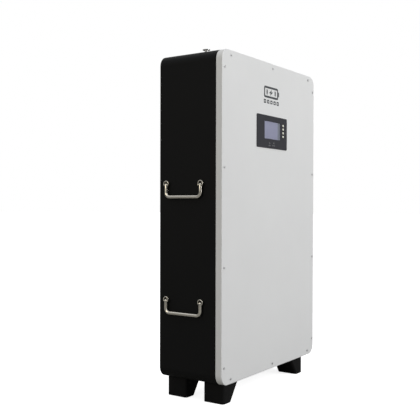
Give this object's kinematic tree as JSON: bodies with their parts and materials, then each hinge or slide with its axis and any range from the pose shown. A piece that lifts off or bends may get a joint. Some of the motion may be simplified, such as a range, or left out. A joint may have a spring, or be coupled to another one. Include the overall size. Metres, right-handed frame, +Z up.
{
  "type": "battery pack",
  "caption": "Floor-standing battery pack: black sheet-steel case on wedge feet, pale screwed front cover with a display and round keys, folding side handles.",
  "frame": {"origin": "on the floor, under the centre of the bounding box", "axes": "+Z up, the front cover looks toward -Y, +X to the right seen from the front"},
  "size_m": [0.588, 0.2188, 1.0118],
  "materials": {
    "case_black": "fine-textured black powder coat",
    "foot_black": "fine-textured black powder coat",
    "cover_white": "satin off-white powder coat",
    "gasket_rubber": "matt",
    "handle_steel": "satin nickel plate",
    "screw_steel": "zinc-plated",
    "plated_steel": "nickel-plated",
    "bezel_black": "satin",
    "window_clear": "polished, grey tint",
    "screen_grey": "unlit display",
    "board_green": "solder mask",
    "key_cream": "moulded",
    "light_clear": "clear light guide",
    "socket_orange": "moulded",
    "socket_black": "moulded",
    "contact_brass": "plain",
    "breaker_black": "moulded",
    "toggle_green": "moulded",
    "port_black": "moulded",
    "cell_wrap": "blue film over aluminium",
    "manager_aluminium": "extruded, fins",
    "busbar_copper": "bare copper"
  },
  "bodies": {
    "enclosure": {"rear_case": "case_black", "front_cover": "cover_white", "cover_gasket": "gasket_rubber", "cover_screw_01": "screw_steel", "cover_screw_02": "screw_steel", "cover_screw_03": "screw_steel", "cover_screw_04": "screw_steel", "cover_screw_05": "screw_steel", "cover_screw_06": "screw_steel", "cover_screw_07": "screw_steel", "cover_screw_08": "screw_steel", "cover_screw_09": "screw_steel", "cover_screw_10": "screw_steel", "cover_screw_11": "screw_steel", "cover_screw_12": "screw_steel", "cover_screw_13": "screw_steel", "cover_screw_14": "screw_steel", "foot_front_left": "foot_black", "foot_front_right": "foot_black", "foot_rear_left": "foot_black", "foot_rear_right": "foot_black", "handle_post_left_lower_front": "handle_steel", "handle_post_left_lower_rear": "handle_steel", "handle_post_left_upper_front": "handle_steel", "handle_post_left_upper_rear": "handle_steel", "handle_post_right_lower_front": "handle_steel", "handle_post_right_lower_rear": "handle_steel", "handle_post_right_upper_front": "handle_steel", "handle_post_right_upper_rear": "handle_steel", "display_bezel": "bezel_black", "display_window": "window_clear", "screen_module": "screen_grey", "display_board": "board_green", "status_light_run": "light_clear", "status_light_alarm": "light_clear", "vent_valve": "plated_steel", "positive_socket": "socket_orange", "negative_socket": "socket_black", "positive_contact": "contact_brass", "negative_contact": "contact_brass", "breaker_body": "breaker_black", "power_button_ring": "plated_steel", "communication_ports": "port_black", "earth_stud": "contact_brass", "cell_module_lower_left": "cell_wrap", "cell_module_lower_right": "cell_wrap", "cell_module_upper_left": "cell_wrap", "cell_module_upper_right": "cell_wrap", "battery_manager": "manager_aluminium", "main_busbar": "busbar_copper"},
    "handle_left_lower": {"handle_bail_left_lower": "handle_steel"},
    "handle_left_upper": {"handle_bail_left_upper": "handle_steel"},
    "handle_right_lower": {"handle_bail_right_lower": "handle_steel"},
    "handle_right_upper": {"handle_bail_right_upper": "handle_steel"},
    "key_escape": {"key_escape": "key_cream"},
    "key_up": {"key_up": "key_cream"},
    "key_down": {"key_down": "key_cream"},
    "key_enter": {"key_enter": "key_cream"},
    "breaker_toggle": {"breaker_toggle": "toggle_green"},
    "power_button": {"power_button": "plated_steel"}
  },
  "joints": [
    {"name": "handle_left_lower_hinge", "type": "hinge", "parent": "enclosure", "child": "handle_left_lower", "pos_m": [-0.289, 0.02085, 0.2852], "axis": [0, 1, 0], "range_deg": [0, 90]},
    {"name": "handle_left_upper_hinge", "type": "hinge", "parent": "enclosure", "child": "handle_left_upper", "pos_m": [-0.289, 0.02085, 0.6167], "axis": [0, 1, 0], "range_deg": [0, 90]},
    {"name": "handle_right_lower_hinge", "type": "hinge", "parent": "enclosure", "child": "handle_right_lower", "pos_m": [0.289, 0.02085, 0.2852], "axis": [0, -1, 0], "range_deg": [0, 90]},
    {"name": "handle_right_upper_hinge", "type": "hinge", "parent": "enclosure", "child": "handle_right_upper", "pos_m": [0.289, 0.02085, 0.6167], "axis": [0, -1, 0], "range_deg": [0, 90]},
    {"name": "key_escape_press", "type": "slide", "parent": "enclosure", "child": "key_escape", "axis": [0, 1, 0], "range_m": [0, 0.0006], "stiffness_N_per_m": 800, "springref_m": -0.0005},
    {"name": "key_up_press", "type": "slide", "parent": "enclosure", "child": "key_up", "axis": [0, 1, 0], "range_m": [0, 0.0006], "stiffness_N_per_m": 800, "springref_m": -0.0005},
    {"name": "key_down_press", "type": "slide", "parent": "enclosure", "child": "key_down", "axis": [0, 1, 0], "range_m": [0, 0.0006], "stiffness_N_per_m": 800, "springref_m": -0.0005},
    {"name": "key_enter_press", "type": "slide", "parent": "enclosure", "child": "key_enter", "axis": [0, 1, 0], "range_m": [0, 0.0006], "stiffness_N_per_m": 800, "springref_m": -0.0005},
    {"name": "breaker_toggle_throw", "type": "hinge", "parent": "enclosure", "child": "breaker_toggle", "pos_m": [0.09, 0.03885, 0.992], "axis": [-1, 0, 0], "range_deg": [0, 40]},
    {"name": "power_button_press", "type": "slide", "parent": "enclosure", "child": "power_button", "axis": [0, 0, -1], "range_m": [0, 0.002], "stiffness_N_per_m": 1000, "springref_m": -0.001}
  ]
}
